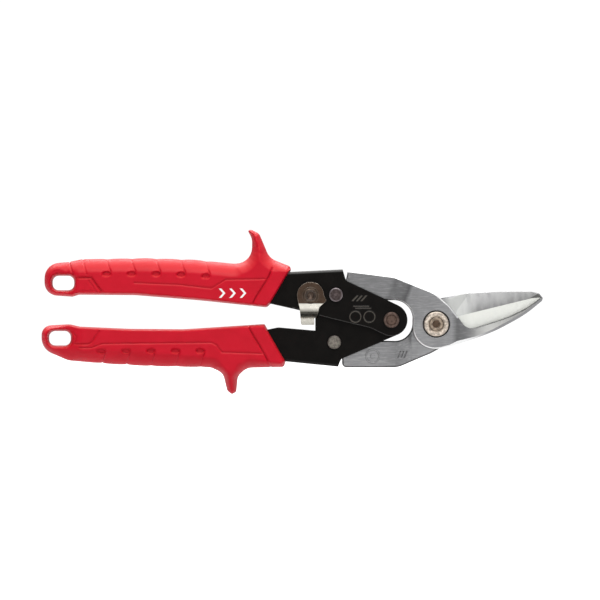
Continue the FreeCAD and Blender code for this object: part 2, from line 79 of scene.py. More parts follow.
class Graph:
    """A material's node tree, with short calls for the nodes that the materials share."""

    def __init__(self, name):
        self.material = bpy.data.materials.new(name)
        self.material.use_nodes = True
        self.tree = self.material.node_tree
        self.tree.nodes.clear()
        self.output = self.tree.nodes.new("ShaderNodeOutputMaterial")
        self.shader = self.tree.nodes.new("ShaderNodeBsdfPrincipled")
        self.tree.links.new(self.shader.outputs[0], self.output.inputs[0])
        self.place = self.tree.nodes.new("ShaderNodeTexCoord").outputs["Object"]

    def feed(self, socket, value):
        """Sets a socket from a number, a colour, or another node's output."""
        if isinstance(value, bpy.types.NodeSocket):
            self.tree.links.new(value, socket)
        elif value is not None:
            socket.default_value = value

    def add(self, kind, inputs=(), **settings):
        """New node with its settings, and its inputs fed by name."""
        node = self.tree.nodes.new(kind)
        for key, value in settings.items():
            setattr(node, key, value)
        for key, value in dict(inputs).items():
            self.feed(node.inputs[key], value)
        return node

    def math(self, operation, a, b=None):
        node = self.add("ShaderNodeMath", operation=operation)
        self.feed(node.inputs[0], a)
        self.feed(node.inputs[1], b)
        return node.outputs[0]

    def vector(self, operation, a, b=None):
        node = self.add("ShaderNodeVectorMath", operation=operation)
        self.feed(node.inputs[0], a)
        self.feed(node.inputs[1], b)
        return node.outputs["Value" if operation in ("LENGTH", "DOT_PRODUCT") else "Vector"]

    def noise(self, scale, detail, rough=0.55, stretch=(1, 1, 1)):
        """Noise with scale features to a metre, squeezed along each axis by stretch."""
        place = self.vector("MULTIPLY", self.place, stretch)
        settings = {"Vector": place, "Scale": scale, "Detail": detail, "Roughness": rough}
        return self.add("ShaderNodeTexNoise", settings).outputs["Fac"]

    def ramp(self, fac, stops):
        """Colour ramp from (position, colour) stops; a plain number makes a grey."""
        node = self.add("ShaderNodeValToRGB", {"Fac": fac})
        elements = node.color_ramp.elements
        while len(elements) < len(stops):
            elements.new(0.5)
        for element, (position, colour) in zip(elements, stops):
            if isinstance(colour, (int, float)):
                colour = (colour,) * 3
            element.position = position
            element.color = tuple(colour) + (1,)
        return node.outputs["Color"]

    def mix(self, fac, a, b):
        """a where fac is 0, b where it is 1; either may be a plain colour."""
        node = self.add("ShaderNodeMix", data_type="RGBA")
        self.feed(node.inputs[0], fac)
        self.feed(node.inputs[6], a if not isinstance(a, tuple) else a + (1,))
        self.feed(node.inputs[7], b if not isinstance(b, tuple) else b + (1,))
        return node.outputs[2]

    def step(self, value, low, high):
        """0 at low, 1 at high, and smooth between; low may be the greater of the two."""
        limits = {"Value": value, "From Min": low, "From Max": high}
        return self.add("ShaderNodeMapRange", limits, interpolation_type="SMOOTHSTEP").outputs[0]

    def axis(self, letter):
        node = self.add("ShaderNodeSeparateXYZ", {"Vector": self.place})
        return node.outputs[letter]

    def along(self, point, direction):
        """Distance in metres past a point, along a direction."""
        past = self.vector("SUBTRACT", self.place, tuple(point))
        return self.vector("DOT_PRODUCT", past, tuple(Vector(direction).normalized()))

    def radius_about(self, centre):
        """Distance from an axis along Y through centre."""
        away = self.vector("SUBTRACT", self.place, tuple(centre))
        return self.vector("LENGTH", self.vector("MULTIPLY", away, (1, 0, 1)))

    def normal(self):
        return self.add("ShaderNodeNewGeometry").outputs["Normal"]

    def facing(self, direction):
        """How squarely a face looks along a direction, from -1 to 1."""
        return self.vector("DOT_PRODUCT", self.normal(), direction)

    def rounded_normal(self, radius):
        """Normal of the surface as if its edges were rounded."""
        return self.add("ShaderNodeBevel", {"Radius": radius}, samples=NORMAL_SAMPLES).outputs[0]

    def edge_facing(self, direction, radius, low, high):
        """1 along the edges that would look along a direction if they were rounded."""
        towards = self.vector("DOT_PRODUCT", self.rounded_normal(radius), direction)
        return self.step(towards, low, high)

    def sharp_edge(self, radius):
        """1 on sharp outer edges and 0 on flat faces, from how far a rounded normal turns away."""
        turned = self.vector("DOT_PRODUCT", self.rounded_normal(radius), self.normal())
        return self.step(self.math("SUBTRACT", 1.0, turned), 0.02, 0.22)

    def openness(self, distance, low, high):
        """0 in creases narrower than about distance, 1 on open faces."""
        inputs = {"Distance": distance}
        crease = self.add("ShaderNodeAmbientOcclusion", inputs, samples=NORMAL_SAMPLES).outputs["AO"]
        return self.step(crease, low, high)

    def bump(self, height, distance, strength, edge_radius=None):
        """Normal of a relief, distance deep where height is 1; edge_radius also rounds the edges."""
        normal = self.rounded_normal(edge_radius) if edge_radius else None
        inputs = {"Height": height, "Distance": distance, "Strength": strength, "Normal": normal}
        return self.add("ShaderNodeBump", inputs).outputs[0]

    def finish(self, **inputs):
        """Feeds the shader's inputs and returns the material."""
        for key, value in inputs.items():
            name = {"Base": "Base Color", "Specular": "Specular IOR Level"}.get(key, key)
            if isinstance(value, tuple):
                value = value + (1,)
            self.feed(self.shader.inputs[name], value)
        return self.material


# ------------------------------------------------------------------ materials


def red_elastomer():
    """Satin moulded plastic with a fine spark texture, painted shade in its creases and a painted highlight
    on faces that look up.
    """
    g = Graph("red_elastomer")
    mottling = g.noise(90, 2.0)
    colour = g.ramp(mottling, [(0.3, (0.53, 0.0010, 0.014)), (0.7, (0.59, 0.0018, 0.018))])
    # A painted highlight pales the skin that faces upwards.
    painted_top_light = g.step(g.facing((0, 0, 1)), 0.10, 0.80)
    colour = g.mix(g.math("MULTIPLY", painted_top_light, 0.6), colour, (0.70, 0.030, 0.032))
    # Painted shade in the grooves and creases.
    colour = g.mix(g.openness(1.2 * MM, 0.38, 0.88), (0.14, 0.0004, 0.005), colour)
    grain = g.noise(5200, 2.0)
    waves = g.noise(420, 2.0)
    height = g.math("ADD", g.math("MULTIPLY", grain, 0.25), waves)
    rough = g.ramp(waves, [(0.2, 0.38), (0.8, 0.50)])
    relief = g.bump(height, 0.10 * MM, 0.5)
    return g.finish(Base=colour, Roughness=rough, Normal=relief, Specular=0.2)


ENGRAVED_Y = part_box("upper_lever")[0].y + 0.2 * MM   # floors of the marks in the upper lever's front


def black_sheet(name, lower_edge_sheen):
    """Black coated sheet steel with a slight orange peel; its second argument sets how strong the painted
    highlight along its lower edge is.
    """
    g = Graph(name)
    peel = g.noise(1500, 2.0)
    dust = g.noise(160, 3.0)
    edge = g.math("MULTIPLY", g.sharp_edge(0.45 * MM), g.step(g.noise(500, 4.0), 0.30, 0.60))
    coat = g.ramp(dust, [(0.3, (0.0035, 0.0030, 0.0026)), (0.7, (0.0065, 0.0055, 0.0048))])
    # A painted highlight greys the bends and edges that face upwards.
    coat = g.mix(g.step(g.facing((0, 0, 1)), 0.05, 0.70), coat, (0.11, 0.108, 0.105))
    # Ahead of X = -45 mm, only the floors of the engraved marks lie at this depth.
    off_floor = g.math("ABSOLUTE", g.math("SUBTRACT", g.axis("Y"), ENGRAVED_Y))
    on_floor = g.step(off_floor, 0.06 * MM, 0.02 * MM)
    engraved = g.math("MULTIPLY", on_floor, g.step(g.axis("X"), -46 * MM, -44 * MM))
    coat = g.mix(g.math("MULTIPLY", engraved, 0.65), coat, (0.14, 0.125, 0.105))
    # Sharp edges lighten here and there: partly bare steel where the coat is worn, partly a painted
    # highlight.
    colour = g.mix(g.math("MULTIPLY", edge, 0.35), coat, (0.12, 0.115, 0.11))
    # Painted highlight along the lower edge.
    lower_edge = g.edge_facing((-0.3, 0, -0.95), 0.7 * MM, 0.12, 0.50)
    colour = g.mix(g.math("MULTIPLY", lower_edge, lower_edge_sheen), colour, (0.16, 0.155, 0.15))
    rough = g.ramp(dust, [(0.3, 0.36), (0.7, 0.44)])
    relief = g.bump(peel, 0.05 * MM, 0.5, 0.45 * MM)
    return g.finish(Base=colour, Roughness=rough, Normal=relief, Specular=0.06)


BANDS_MEET = 18 * MM       # height at which leaning bands are where upright ones would be


def forged_skin(g, painted_bands, lean, forge, brushed):
    """Colour of the forged skin: cloudy grey, finely brushed, with painted light and shade in bands along
    X.
    """
    cloud = g.noise(60, 2.0)
    skin = g.mix(cloud, (0.17, 0.17, 0.174), (0.27, 0.27, 0.274))
    skin = g.mix(g.math("MULTIPLY", forge, 0.35), skin, (0.13, 0.13, 0.132))
    skin = g.mix(g.math("MULTIPLY", g.step(brushed, 0.45, 0.75), 0.35), skin, (0.42, 0.42, 0.42))
    # The bands of painted light and shade lean behind the pivot.
    over_middle = g.math("SUBTRACT", g.axis("Z"), BANDS_MEET)
    behind_pivot = g.step(g.axis("X"), 0.0, -8 * MM)
    shift = g.math("MULTIPLY", g.math("MULTIPLY", over_middle, lean), behind_pivot)
    upright_x = g.math("SUBTRACT", g.axis("X"), shift)
    first, last = painted_bands[0][0], painted_bands[-1][0]
    share = g.math("DIVIDE", g.math("SUBTRACT", upright_x, first * MM), (last - first) * MM)
    # A ramp's colours stop at 1, so it holds half of the brightness.
    half = g.ramp(share, [((x - first) / (last - first), brightness / 2) for x, brightness in painted_bands])
    return g.vector("MULTIPLY", g.vector("MULTIPLY", skin, half), (2, 2, 2))


def forged_steel(name, painted_bands, lean, chamfer_painted_light, ground_from, ground_colour, ground_stretch):
    """Satin forged steel with painted light and shade on its chamfers and in its creases, and a ground
    blade.

    The list after the name holds (X in mm, brightness) of the bands of painted light and shade on the
    forged skin. lean slants its bands behind the pivot.
    ground_from is the two values of X between which the forged skin turns to ground steel.
    ground_colour(graph, lines) colours the grind, whose lines are noise squeezed by ground_stretch.
    """
    g = Graph(name)
    ground = g.step(g.axis("X"), *ground_from)
    forge = g.noise(650, 4.0)
    brushed = g.noise(1500, 2.0, 0.6, (0.10, 1, 1))
    lines = g.noise(420, 3.0, 0.6, ground_stretch)
    colour = g.mix(ground, forged_skin(g, painted_bands, lean, forge, brushed), ground_colour(g, lines))
    # Painted highlight and shade on the chamfers: the given colour on the forged skin, mid grey on the
    # blade.
    sideways = g.math("ABSOLUTE", g.facing((0, 1, 0)))
    chamfer = g.math("MULTIPLY", g.step(sideways, 0.92, 0.88), g.step(sideways, 0.5, 0.6))
    bevel = g.mix(ground, chamfer_painted_light, (0.30, 0.30, 0.31))
    colour = g.mix(g.math("MULTIPLY", chamfer, 0.9), colour, bevel)
    # Painted shade in creases, such as round the washers and in the counterbore.
    colour = g.mix(g.openness(0.7 * MM, 0.35, 0.80), (0.02, 0.02, 0.02), colour)
    forged_rough = g.ramp(forge, [(0.2, 0.36), (0.8, 0.50)])
    ground_rough = g.ramp(lines, [(0.2, 0.30), (0.6, 0.55)])
    height = g.mix(ground, g.math("ADD", forge, brushed), g.math("MULTIPLY", lines, 0.3))
    relief = g.bump(height, 0.05 * MM, 0.5, 0.35 * MM)
    rough = g.mix(ground, forged_rough, ground_rough)
    return g.finish(Base=colour, Roughness=rough, Metallic=1.0, Normal=relief)


RING_SPAN = 8 * MM         # radius that a ring ramp covers
TOOL_MARK = 0.3 * MM       # pitch of the lathe's marks
LIGHT_RIM_METAL = (0.5, 0.46, 0.42)


def ring_colours(g, centre, rings):
    """Colour by distance from a pin's axis; rings is a list of (radius in mm, colour)."""
    share = g.math("DIVIDE", g.radius_about(centre), RING_SPAN)
    return g.ramp(share, [(radius * MM / RING_SPAN, colour) for radius, colour in rings])


def turned_metal(name, centre, rings):
    """Metal turned or headed about an axis along Y: rings of colour with stains, fine tool marks and a
    lighter rim.
    """
    g = Graph(name)
    stain = g.noise(900, 4.0)
    base = ring_colours(g, centre, rings)
    base = g.mix(g.math("MULTIPLY", g.step(stain, 0.62, 0.35), 0.5), base, (0.02, 0.015, 0.012))
    base = g.mix(g.math("MULTIPLY", g.sharp_edge(0.35 * MM), 0.35), base, LIGHT_RIM_METAL)
    cut = g.math("SINE", g.math("MULTIPLY", g.radius_about(centre), 2 * math.pi / TOOL_MARK))
    height = g.math("ADD", g.math("MULTIPLY", cut, 0.3), stain)
    relief = g.bump(height, 0.03 * MM, 0.6, 0.3 * MM)
    return g.finish(Base=base, Roughness=0.34, Metallic=1.0, Normal=relief)


def latch_plate():
    """Bright plated tab with painted light and shade across its bends, and a bronze stain round the pin."""
    g = Graph("latch_plate")
    stain = g.noise(700, 3.0)
    up_the_tab = g.math("DIVIDE", g.math("ADD", g.axis("Z"), 2 * MM), 12 * MM)
    # Painted reflections up the tab: light where its bends face the light, dark where they face the dark
    # below.
    tab = g.ramp(up_the_tab, [
        (0.15, 0.45), (0.30, 0.66), (0.42, 0.62), (0.48, 0.20), (0.53, 0.03), (0.66, 0.02), (0.72, 0.35),
        (0.84, 0.85),
    ])
    tab = g.mix(g.math("MULTIPLY", stain, 0.3), tab, (0.35, 0.34, 0.32))
    tab = g.vector("MULTIPLY", tab, (1.0, 0.96, 0.86))
    bronze = g.mix(stain, (0.030, 0.018, 0.012), (0.105, 0.070, 0.050))
    colour = g.mix(g.step(g.axis("Z"), 9.9 * MM, 10.5 * MM), tab, bronze)
    # Painted highlight along the sharp edges.
    colour = g.mix(g.math("MULTIPLY", g.sharp_edge(0.5 * MM), 0.6), colour, (0.62, 0.56, 0.48))
    rough = g.ramp(stain, [(0.2, 0.24), (0.8, 0.36)])
    relief = g.bump(stain, 0.03 * MM, 0.5, 0.3 * MM)
    return g.finish(Base=colour, Roughness=rough, Metallic=1.0, Normal=relief)


def natural_nylon():
    """Milky white nylon."""
    g = Graph("natural_nylon")
    cloud = g.noise(900, 2.0)
    colour = g.mix(cloud, (0.62, 0.62, 0.56), (0.78, 0.78, 0.72))
    return g.finish(Base=colour, Roughness=0.45, Normal=g.bump(cloud, 0.03 * MM, 0.5, 0.1 * MM))


def spring_wire():
    """Drawn spring steel."""
    g = Graph("spring_wire")
    drawn = g.noise(2500, 3.0)
    colour = g.mix(drawn, (0.16, 0.16, 0.17), (0.34, 0.34, 0.36))
    relief = g.bump(drawn, 0.02 * MM, 0.5)
    return g.finish(Base=colour, Roughness=0.32, Metallic=1.0, Normal=relief)


def printed_ink():
    """White pad print, a little thin in places."""
    g = Graph("printed_ink")
    cover = g.noise(2600, 3.0)
    colour = g.ramp(cover, [(0.25, (0.80, 0.62, 0.62)), (0.45, (0.93, 0.92, 0.91))])
    return g.finish(Base=colour, Roughness=0.5, Normal=g.bump(cover, 0.02 * MM, 0.4))


def paint(node, material):
    """Gives a CAD node its material."""
    data = NODES[node].data
    data.materials.clear()
    data.materials.append(material)


# Rings of colour round each pin: (radius in mm, colour).
BOLT_RINGS = [
    (1.7, (0.135, 0.090, 0.063)), (2.1, (0.405, 0.315, 0.240)), (3.2, (0.435, 0.345, 0.262)),
    (3.5, (0.150, 0.112, 0.083)), (3.9, (0.510, 0.420, 0.330)), (4.7, (0.930, 0.810, 0.690)),
    (5.6, (0.810, 0.705, 0.600)), (6.2, (0.450, 0.390, 0.330)),
]
BROWN_RINGS = [
    (1.9, (0.142, 0.095, 0.076)), (2.4, (0.068, 0.041, 0.031)), (3.2, (0.169, 0.119, 0.100)),
    (3.9, (0.108, 0.074, 0.062)),
]
GREY_RINGS = [
    (0.3, (0.13, 0.10, 0.10)), (2.4, (0.08, 0.06, 0.06)), (2.8, (0.12, 0.10, 0.10)),
    (3.2, (0.27, 0.23, 0.24)),
]
PALE_RINGS = [
    (0.5, (0.275, 0.244, 0.213)), (2.4, (0.237, 0.219, 0.188)), (3.1, (0.175, 0.156, 0.138)),
]
PIN_RINGS = [
    (0.8, (0.115, 0.083, 0.066)), (1.8, (0.060, 0.040, 0.030)), (2.5, (0.065, 0.044, 0.033)),
    (3.0, (0.150, 0.112, 0.086)), (3.6, (0.10, 0.075, 0.058)),
]
BRONZED = [(1.0, (0.10, 0.07, 0.05)), (7.0, (0.10, 0.07, 0.05))]
PLAIN_STEEL = [(1.0, (0.20, 0.19, 0.18)), (7.0, (0.20, 0.19, 0.18))]
ZINC = [(1.0, (0.38, 0.38, 0.40)), (7.0, (0.38, 0.38, 0.40))]

TURNED_PIECES = {
    "pivot_bolt": BOLT_RINGS,
    "upper_link_rivet": GREY_RINGS,
    "handle_pivot_rivet": BROWN_RINGS,
    "lower_link_rivet": PALE_RINGS,
    "latch_rivet": PIN_RINGS,
    "pivot_head_washer": PLAIN_STEEL,
    "pivot_wave_washer": PLAIN_STEEL,
    "latch_wave_washer": BRONZED,
    "handle_pivot_sleeve": PLAIN_STEEL,
    "pivot_nut": ZINC,
}


def outer_grind(g, lines, cutting_side):
    """A blade's outer face, painted darker towards its tip and with a painted shadow along its cutting
    edge, which is on its +Z (1) or -Z (-1) side.
    """
    grey = g.mix(lines, (0.60, 0.60, 0.58), (0.74, 0.74, 0.71))
    # Painted shade: darker towards the tip.
    grey = g.mix(g.step(g.axis("X"), 22 * MM, 46 * MM), grey, (0.40, 0.40, 0.39))
    # Painted shadow along the cutting edge.
    to_edge = (-0.3 * cutting_side, 0, 0.95 * cutting_side)
    return g.mix(g.edge_facing(to_edge, 0.8 * MM, 0.10, 0.45), grey, (0.03, 0.03, 0.03))


def shear_flat(g, lines):
    """The bright face that slides past the other blade."""
    return g.mix(lines, (0.88, 0.89, 0.84), (0.97, 0.98, 0.93))


def looking_back(g):
    """1 on faces that look to the back, 0 on those that look to the front."""
    return g.step(g.facing((0, 1, 0)), 0.1, 0.5)


def front_blade_grind(g, lines):
    """Outer face to the front, shear face to the back."""
    return g.mix(looking_back(g), outer_grind(g, lines, 1), shear_flat(g, lines))


def rear_blade_grind(g, lines):
    """Shear face below a ridge, a relief above it in painted shading, a facet at the tip in painted shade,
    and an outer face behind.
    """
    ridge_start = (14.5 * MM, 0, 4.7 * MM)
    above = g.along(ridge_start, (-0.236, 0, 0.972))
    # Painted shading on the relief: darker at the ridge, lighter higher up, greyer towards the tip and
    # paler near the root.
    relief = g.ramp(g.math("DIVIDE", above, 10 * MM), [(0.0, 0.26), (0.35, 0.44), (0.9, 0.58)])
    to_tip = g.math("MULTIPLY", g.step(g.axis("X"), 20 * MM, 50 * MM), 0.35)
    relief = g.mix(to_tip, relief, (0.36, 0.36, 0.355))
    relief = g.mix(g.step(g.axis("X"), 22 * MM, 11 * MM), relief, (0.70, 0.71, 0.69))
    scratches = g.math("MULTIPLY", g.step(lines, 0.4, 0.7), 0.14)
    relief = g.mix(scratches, relief, (0.78, 0.78, 0.76))
    colour = g.mix(g.step(above, -0.1 * MM, 0.2 * MM), shear_flat(g, lines), relief)
    # Painted shade: the small facet at the tip is dark.
    facet_start = (46.6 * MM, 0, 12.75 * MM)
    over = g.step(g.along(facet_start, (-0.067, 0, 1)), -0.05 * MM, 0.15 * MM)
    beyond = g.step(g.along(facet_start, (0.496, 0, -0.868)), -0.05 * MM, 0.15 * MM)
    colour = g.mix(g.math("MULTIPLY", over, beyond), colour, (0.15, 0.15, 0.145))
    return g.mix(looking_back(g), colour, outer_grind(g, lines, -1))


# Painted light and shade in bands along X: each plane of a forging is painted as bright as it looks in the
# light, and the bends between them darker: (X in mm, brightness).
FRONT_PAINTED_BANDS = [
    (-24, 1.10), (-21.5, 0.80), (-19, 0.95), (-15.5, 0.90), (-13.4, 0.62), (-11.6, 1.35), (7.5, 1.5),
    (10.2, 0.8), (13, 1.0), (20, 1.3),
]
REAR_PAINTED_BANDS = [(-30, 1.45), (-20, 1.25), (-12, 1.45), (0, 1.9)]


def front_jaw_steel():
    return forged_steel(
        "front_jaw_steel", FRONT_PAINTED_BANDS, lean=0.42, chamfer_painted_light=(1.0, 1.0, 1.0),
        ground_from=(14 * MM, 28 * MM), ground_colour=front_blade_grind, ground_stretch=(0.35, 1, 1.4),
    )


def rear_jaw_steel():
    return forged_steel(
        "rear_jaw_steel", REAR_PAINTED_BANDS, lean=0.0, chamfer_painted_light=(0.05, 0.05, 0.05),
        ground_from=(2 * MM, 8 * MM), ground_colour=rear_blade_grind, ground_stretch=(1.4, 1, 0.35),
    )


def paint_cad_nodes():
    paint("front_jaw", front_jaw_steel())
    paint("rear_jaw", rear_jaw_steel())
    paint("upper_lever", black_sheet("upper_lever_coating", lower_edge_sheen=0.6))
    paint("lower_lever", black_sheet("lower_lever_coating", lower_edge_sheen=0.1))
    for node, rings in TURNED_PIECES.items():
        paint(node, turned_metal(node + "_metal", centre_of(node), rings))
    paint("pivot_nut_ring", natural_nylon())
    paint("latch", latch_plate())


# ------------------------------------------------------------------ outlines seen from the front, in mm

ARC_POINTS = 8             # points on each rounded corner
FAR = 1e9                  # farther than anything


def arc_corner(before, corner, after, radius):
    """Points of the arc that rounds one corner."""
    u = (before - corner) / np.linalg.norm(before - corner)
    v = (after - corner) / np.linalg.norm(after - corner)
    half = math.acos(max(-1.0, min(1.0, float(u @ v)))) / 2
    reach = radius / math.tan(half)
    bisector = (u + v) / np.linalg.norm(u + v)
    centre = corner + bisector * radius / math.sin(half)
    start, end = corner + u * reach, corner + v * reach
    a0 = math.atan2(*(start - centre)[::-1])
    turn = (math.atan2(*(end - centre)[::-1]) - a0 + math.pi) % (2 * math.pi) - math.pi
    angles = a0 + turn * np.linspace(0, 1, ARC_POINTS)
    return [centre + radius * np.array([math.cos(a), math.sin(a)]) for a in angles]


def rounded(corners):
    """Closed outline from (x, z, corner radius, edge roundness): its points, and the roundness at each."""
    points, roundness = [], []
    sharp = [np.array(corner[:2], float) for corner in corners]
    for index, (_, _, radius, edge_roundness) in enumerate(corners):
        following = sharp[(index + 1) % len(corners)]
        points += arc_corner(sharp[index - 1], sharp[index], following, radius)
        roundness += [edge_roundness] * ARC_POINTS
    return np.array(points), np.array(roundness, float)


def segment_distance(px, pz, a, b):
    """Distance from grid points to the segment a-b, and where along it the nearest point is."""
    dx, dz = b - a
    length = max(dx * dx + dz * dz, 1e-12)
    t = np.clip(((px - a[0]) * dx + (pz - a[1]) * dz) / length, 0, 1)
    return np.hypot(px - a[0] - t * dx, pz - a[1] - t * dz), t


def inside_polygon(px, pz, points):
    """Whether grid points are inside a closed outline, from how often a line to the right crosses it."""
    inside = np.zeros(px.shape, bool)
    for (x0, z0), (x1, z1) in zip(points, np.roll(points, -1, axis=0)):
        if z0 != z1:
            crosses = (z0 > pz) != (z1 > pz)
            inside ^= crosses & (px < (x1 - x0) * (pz - z0) / (z1 - z0) + x0)
    return inside


def signed_outside(px, pz, points):
    """Distance to an outline, negative inside it."""
    distance = np.full(px.shape, FAR)
    for a, b in zip(points, np.roll(points, -1, axis=0)):
        distance = np.minimum(distance, segment_distance(px, pz, a, b)[0])
    return np.where(inside_polygon(px, pz, points), -distance, distance)


def edge_field(px, pz, points, roundness):
    """How far out in the rim a point is: 1 on the outline, more outside it, 0 or less on the flat face."""
    rim = np.full(px.shape, -FAR)
    nearest = np.full(px.shape, FAR)
    outside = np.zeros(px.shape)
    following = np.roll(points, -1, axis=0)
    next_roundness = np.roll(roundness, -1)
    for a, b, ra, rb in zip(points, following, roundness, next_roundness):
        distance, t = segment_distance(px, pz, a, b)
        r = ra + (rb - ra) * t
        rim = np.maximum(rim, 1 - distance / r)
        closer = distance < nearest
        nearest = np.where(closer, distance, nearest)
        outside = np.where(closer, 1 + distance / r, outside)
    return np.where(inside_polygon(px, pz, points), rim, outside)


def smooth(value, low, high):
    """0 at low, 1 at high, and smooth between."""
    t = np.clip((value - low) / (high - low), 0, 1)
    return t * t * (3 - 2 * t)


def groove(px, pz, line, width, depth):
    """Recess depth of a rounded groove along a line of points."""
    distance = np.full(px.shape, FAR)
    points = np.array(line, float)
    for a, b in zip(points, points[1:]):
        distance = np.minimum(distance, segment_distance(px, pz, a, b)[0])
    return depth * np.exp(-(distance / (0.6 * width)) ** 2)


def deepest_groove(px, pz, grooves):
    """Recess depth of grooves given as (line, width, depth)."""
    depth = np.zeros(px.shape)
    for line, width, deep in grooves:
        depth = np.maximum(depth, groove(px, pz, line, width, deep))
    return depth


def pocket(px, pz, centre, half_width, half_height, depth):
    """Recess depth of a soft-edged pocket."""
    r = np.hypot((px - centre[0]) / half_width, (pz - centre[1]) / half_height)
    return depth * (1 - smooth(r, 0.65, 1.1))


# ------------------------------------------------------------------ closed meshes from a field


def cells_beside(edges, axis, da, db):
    """Index of the cells beside grid edges that run along an axis, da and db cells back across it."""
    a, b = [other for other in range(3) if other != axis]
    cells = edges.copy()
    cells[:, a] -= da
    cells[:, b] -= db
    return tuple(cells.T)


def edge_crossings(field, axis):
    """Grid edges along an axis where a field changes sign, how far along each, and which start inside."""
    lower = [slice(None)] * 3
    upper = [slice(None)] * 3
    lower[axis], upper[axis] = slice(0, -1), slice(1, None)
    f0, f1 = field[tuple(lower)], field[tuple(upper)]
    cross = (f0 > 0) != (f1 > 0)
    along = f0[cross] / (f0[cross] - f1[cross])
    return np.argwhere(cross), along, (f0 > 0)[cross]


def surface_net(field, low, step):
    """Quads over the zero surface of a field that is positive inside, with a point in each cell crossed."""
    cells = tuple(n - 1 for n in field.shape)
    total = np.zeros(cells + (3,))
    count = np.zeros(cells)
    crossings = []
    for axis in range(3):
        edges, along, starts_inside = edge_crossings(field, axis)
        crossings.append((axis, edges, starts_inside))
        spot = edges.astype(float)
        spot[:, axis] += along
        for da, db in ((0, 0), (0, 1), (1, 0), (1, 1)):
            index = cells_beside(edges, axis, da, db)
            np.add.at(total, index, spot)
            np.add.at(count, index, 1)
    used = count > 0
    number = np.full(cells, -1)
    number[used] = np.arange(used.sum())
    vertices = low + step * total[used] / count[used][:, None]
    quads = []
    for axis, edges, starts_inside in crossings:
        ring = [number[cells_beside(edges, axis, da, db)] for da, db in ((1, 1), (0, 1), (0, 0), (1, 0))]
        quad = np.stack(ring, axis=1)
        flip = starts_inside if axis != 1 else ~starts_inside
        quad[~flip] = quad[~flip][:, ::-1]
        quads.append(quad)
    return vertices, np.concatenate(quads)


def mesh_piece(name, vertices, faces, material, body):
    """New smooth shaded piece, attached to body unless body is None."""
    data = bpy.data.meshes.new(name)
    data.from_pydata([tuple(v) for v in vertices], [], [tuple(int(i) for i in f) for f in faces])
    data.validate()
    data.shade_smooth()
    data.materials.append(material)
    piece = bpy.data.objects.new(name, data)
    bpy.context.scene.collection.objects.link(piece)
    if body:
        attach(piece, body)
    return piece


# ------------------------------------------------------------------ grips, in mm

GRID = 0.34                # spacing of the field that a grip is meshed from
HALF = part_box("upper_grip")[1].y / MM   # half thickness of a grip
LOOP_THINNER = 2.6         # how much thinner each half is round the hanging slot
SPUR_THINNER = 0.36        # share of its thickness that a spur loses at its tip

# The hanging slots.
UPPER_SLOT = (-186.25, 20.5)
LOWER_SLOT = (-188.0, -7.1)
SLOT_LENGTH, SLOT_WIDTH, SLOT_CORNER = 10.8, 7.2, 3.0

# How far the rounding of a rim reaches in from the outline, and the curve of its section.
SLOT_RIM = 1.7
TOP, SIDE, FRONT = 7.4, 1.4, 1.2
INNER = 0.9                # on the lower grip's edge that faces the upper one
RIM_POWER = 1.6            # 2 would round the rims as ellipses, and 1 would bevel them

# The finger pads along each grip's outer edge.
PAD_PITCH, PAD_COUNT = 12.35, 5
PAD_END, PAD_FADE = 7, 4   # how far the row goes past its end pockets, and how long it fades in
PAD_DIP = 0.45             # dip between two pads
POCKET_WIDE, POCKET_TALL, POCKET_DEPTH = 2.5, 1.45, 1.3
PAD_GROOVE, PAD_GROOVE_DEPTH = 0.75, 0.8

# Corners of each grip: (x, z, corner radius, reach of the rim's rounding).
UPPER_CORNERS = [
    (-195.75, 30.0, 7.6, 3.2), (-184.0, 31.0, 6.0, 5.0), (-177.0, 32.4, 8.0, TOP),
    (-145.0, 32.95, 60.0, TOP), (-121.0, 32.2, 60.0, TOP), (-101.5, 30.2, 8.0, TOP),
    (-92.0, 30.4, 8.0, 6.0), (-92.0, 42.6, 6.5, 3.6), (-94.2, 46.8, 0.7, 2.6), (-92.4, 47.2, 0.8, 2.6),
    (-88.4, 45.2, 3.2, 3.6), (-85.9, 39.4, 20.0, 4.6), (-83.2, 32.9, 8.0, 6.0), (-73.1, 28.9, 1.2, 3.4),
    (-72.4, 27.1, 0.9, FRONT),
    (-82.4, 10.4, 1.2, FRONT), (-84.6, 8.3, 1.6, FRONT), (-118.0, 11.8, 60.0, SIDE),
    (-150.0, 14.4, 60.0, SIDE), (-178.5, 14.65, 5.0, SIDE), (-181.7, 13.6, 4.0, SIDE),
    (-195.75, 14.6, 6.5, 3.2),
]
LOWER_CORNERS = [
    (-197.25, -0.9, 4.8, 2.8), (-183.0, -0.1, 10.0, INNER), (-178.0, -1.3, 10.0, INNER),
    (-153.0, -2.4, 60.0, INNER), (-126.0, -2.6, 60.0, INNER), (-98.0, -0.8, 30.0, INNER),
    (-85.7, 0.0, 1.0, FRONT), (-84.0, -3.0, 12.0, FRONT), (-75.1, -18.5, 2.0, FRONT),
    (-76.0, -21.5, 1.6, 2.4), (-94.5, -21.9, 7.0, 4.6), (-99.1, -26.0, 5.0, 3.4), (-99.8, -33.8, 1.2, 2.4),
    (-102.0, -35.3, 1.2, 2.4), (-104.4, -33.3, 1.6, 2.4), (-106.5, -24.5, 5.5, 3.4),
    (-112.5, -21.7, 6.0, 5.4), (-143.0, -21.1, 60.0, TOP), (-166.0, -19.8, 60.0, TOP),
    (-184.0, -18.2, 12.0, 6.0), (-197.2, -12.4, 8.4, 3.4),
]


def slot_corners(centre):
    """Corners of a hanging slot; its rim has its own rounding, so the last number isn't used."""
    x, z = centre
    corners = []
    for side, end in ((-1, -1), (1, -1), (1, 1), (-1, 1)):
        corners.append((x + side * SLOT_LENGTH / 2, z + end * SLOT_WIDTH / 2, SLOT_CORNER, 1))
    return corners


